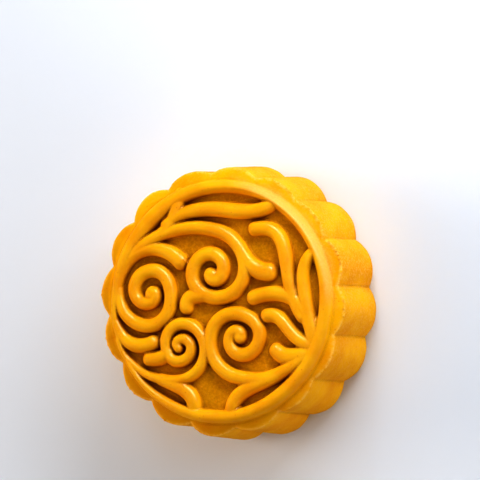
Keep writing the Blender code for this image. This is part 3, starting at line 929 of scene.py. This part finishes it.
height = add_node(tree, "ShaderNodeMath", {"operation": "MULTIPLY_ADD"},
                  links={0: streaks.outputs["Fac"], 1: streak_depth.outputs["Value"],
                         2: bubbly.outputs["Value"]})
relief = add_node(tree, "ShaderNodeBump", inputs={"Strength": 1.0, "Distance": MM},
                  links={"Height": height.outputs["Value"]})
print("streaks", STREAK_WIDTH, "mm apart")

# %% [markdown]
# The backs of the strands were polished by the mould and keep a satin shine. It fades towards
# their feet, and the floor and the grooves are dull. The wall, which slid out of the cup and
# dried, is nearly matt, and so are the torn edge and, in part, the dragged side of the rim.

# %% Shine of the crust
POLISHED = 0.28
DULL = 0.5
MATT = 0.55
DRAGGED_MATT = 0.4
is_foot = add_node(tree, "ShaderNodeMapRange", {"interpolation_type": "SMOOTHSTEP"},
                   {"From Min": (FACE_HEIGHT + 1.4) * MM, "From Max": (FACE_HEIGHT + 0.5) * MM},
                   {"Value": axes.outputs["Z"]})
dull = add_node(tree, "ShaderNodeMath", {"operation": "MAXIMUM"},
                links={0: is_foot.outputs["Result"], 1: occluded_groove.outputs["Result"]})
outer = add_node(tree, "ShaderNodeMath", {"operation": "MAXIMUM"},
                 links={0: on_wall.outputs["Result"], 1: edge_mark.outputs["Fac"]})
matt = add_node(tree, "ShaderNodeMath", {"operation": "MULTIPLY_ADD", "use_clamp": True},
                {1: DRAGGED_MATT}, {0: rim_toward_key.outputs["Result"], 2: outer.outputs["Value"]})
dull_floor = add_node(tree, "ShaderNodeMapRange", inputs={"To Min": POLISHED, "To Max": DULL},
                      links={"Value": dull.outputs["Value"]})
roughness = add_node(tree, "ShaderNodeMix", inputs={3: MATT},
                     links={0: matt.outputs["Value"], 2: dull_floor.outputs["Result"]})
low_shine = add_node(tree, "ShaderNodeMapRange", inputs={"From Max": 0.8, "To Min": 1.0, "To Max": 0.1},
                     links={"Value": dull.outputs["Value"]})
shine = add_node(tree, "ShaderNodeMix", inputs={3: 0.12},
                 links={0: matt.outputs["Value"], 2: low_shine.outputs["Result"]})
skin = add_node(tree, "ShaderNodeBsdfPrincipled",
                inputs={"IOR": 1.45, "Specular Tint": linear("#FFFBF2")},
                links={"Base Color": crust_colour.outputs[2], "Normal": relief.outputs["Normal"],
                       "Roughness": roughness.outputs[0], "Specular IOR Level": shine.outputs[0]})
add_node(tree, "ShaderNodeOutputMaterial", links={"Surface": skin.outputs["BSDF"]})
cake.data.materials.clear()
cake.data.materials.append(crust)
print("crust has", len(tree.nodes), "nodes")

# %% [markdown]
# The cake lies on a plain pale floor of matt paper. It lights the cake, but it is kept out of
# the crust's shine, which would otherwise pick up a white line all along the foot of the rim.

# %% Pale floor
FLOOR_SIZE = 2.0

plane = bmesh.new()
bmesh.ops.create_grid(plane, x_segments=1, y_segments=1, size=FLOOR_SIZE / 2)
floor_mesh = bpy.data.meshes.new("floor")
plane.to_mesh(floor_mesh)
plane.free()
floor = bpy.data.objects.new("floor", floor_mesh)
bpy.context.scene.collection.objects.link(floor)
paper = bpy.data.materials.new("matt_paper")
paper.use_nodes = True
paper.node_tree.nodes["Principled BSDF"].inputs["Base Color"].default_value = linear("#E4EEFD")
paper.node_tree.nodes["Principled BSDF"].inputs["Roughness"].default_value = 0.8
floor_mesh.materials.append(paper)
floor.visible_glossy = False
print("floor", FLOOR_SIZE, "m wide")

# %% [markdown]
# The camera looks down on the face from the cake's right, 22 degrees off the upright, and is
# rolled so that the pattern stands as it is read. A very long lens keeps the round even. One
# pixel of the picture covers about 0.22 mm, and the aim is shifted by pixels to frame the cake.

# %% Camera
VIEW_TILT = math.radians(22.0)
VIEW_ROLL = math.radians(3.37)
VIEW_TURN = math.radians(1.35)
PIXEL = CAKE_WIDTH / 270.8 * MM
IMAGE_SIDE = 480
AIM_RIGHT = 17.95
AIM_UP = 60.71
LENS = 1200.0
SENSOR = 36.0

plain_right = Vector((math.cos(VIEW_TILT) * math.cos(VIEW_TURN),
                      math.cos(VIEW_TILT) * math.sin(VIEW_TURN), -math.sin(VIEW_TILT)))
plain_up = Vector((-math.sin(VIEW_TURN), math.cos(VIEW_TURN), 0))
right = math.cos(VIEW_ROLL) * plain_right + math.sin(VIEW_ROLL) * plain_up
up = -math.sin(VIEW_ROLL) * plain_right + math.cos(VIEW_ROLL) * plain_up
back = right.cross(up)
target = pattern_shift + Vector((0, 0, FACE_HEIGHT * MM)) + (right * AIM_RIGHT + up * AIM_UP) * PIXEL
distance = IMAGE_SIDE * PIXEL / SENSOR * LENS
lens = bpy.data.cameras.new("camera")
lens.lens = LENS
lens.sensor_width = SENSOR
lens.clip_end = 100.0
camera = bpy.data.objects.new("camera", lens)
bpy.context.scene.collection.objects.link(camera)
turn = Matrix((right, up, back)).transposed().to_4x4()
camera.matrix_world = Matrix.Translation(target + back * distance) @ turn
bpy.context.scene.camera = camera
print("camera", round(distance, 2), "m away")

# %% [markdown]
# The light comes from beyond the top of the cake and a little to the right. The key lamp is
# small and stands close, so its light falls off from the upper right to the lower left of the
# face, and it alone is mirrored in the crust. Large soft lamps further away fill in: two beside
# the key, three warm ones that give the light which a table throws back, and one overhead. A
# faint pale surround reaches the rest. The Standard transform keeps the golds as they were
# picked, and the High Contrast look deepens the grooves.

# %% Soft light
def lamp_direction(around, height):
    """Towards a lamp, by its angle round the cake from +X and its height above the floor."""
    around, height = math.radians(around), math.radians(height)
    level = Vector((math.cos(around), math.sin(around), 0)) * math.cos(height)
    return level + Vector((0, 0, math.sin(height)))


face_centre = Vector((0, 0, FACE_HEIGHT * MM))
FAR = 1.5
WARM = "#FFECD6"


def soft_lamp(name, direction, distance, power, width, height, colour="#FFFFFF", shines=False):
    """A flat lamp that faces the cake, in metres and watts. Only one that shines is mirrored."""
    lamp = bpy.data.lights.new(name, "AREA")
    lamp.color = linear(colour)[:3]
    lamp.energy = power
    lamp.shape = "RECTANGLE"
    lamp.size = width
    lamp.size_y = height
    stand = bpy.data.objects.new(name, lamp)
    bpy.context.scene.collection.objects.link(stand)
    stand.location = face_centre + direction * distance
    stand.rotation_euler = direction.to_track_quat("Z", "Y").to_euler()
    stand.visible_glossy = shines


soft_lamp("key", lamp_direction(65, 30), 0.26, 0.41, 0.21, 0.062, shines=True)
soft_lamp("low key", lamp_direction(26, 18), FAR, 2.7, 0.6, 0.6)
soft_lamp("far key", lamp_direction(100, 22), FAR, 3.2, 0.6, 0.6)
soft_lamp("low left", lamp_direction(180, 17), FAR, 11.0, 0.7, 0.7, WARM)
soft_lamp("left", lamp_direction(215, 36), FAR, 3.8, 1.2, 1.2, WARM)
soft_lamp("low right", lamp_direction(322, 15), FAR, 6.0, 1.2, 1.2, WARM)
soft_lamp("overhead", lamp_direction(60, 80), FAR, 3.1, 1.2, 1.2)
surround = bpy.data.worlds.new("surround")
surround.use_nodes = True
surround.node_tree.nodes["Background"].inputs["Color"].default_value = linear("#FFFFFF")
surround.node_tree.nodes["Background"].inputs["Strength"].default_value = 0.03
bpy.context.scene.world = surround
bpy.context.scene.view_settings.view_transform = "Standard"
bpy.context.scene.view_settings.look = "High Contrast"
print("seven lamps and a pale surround")
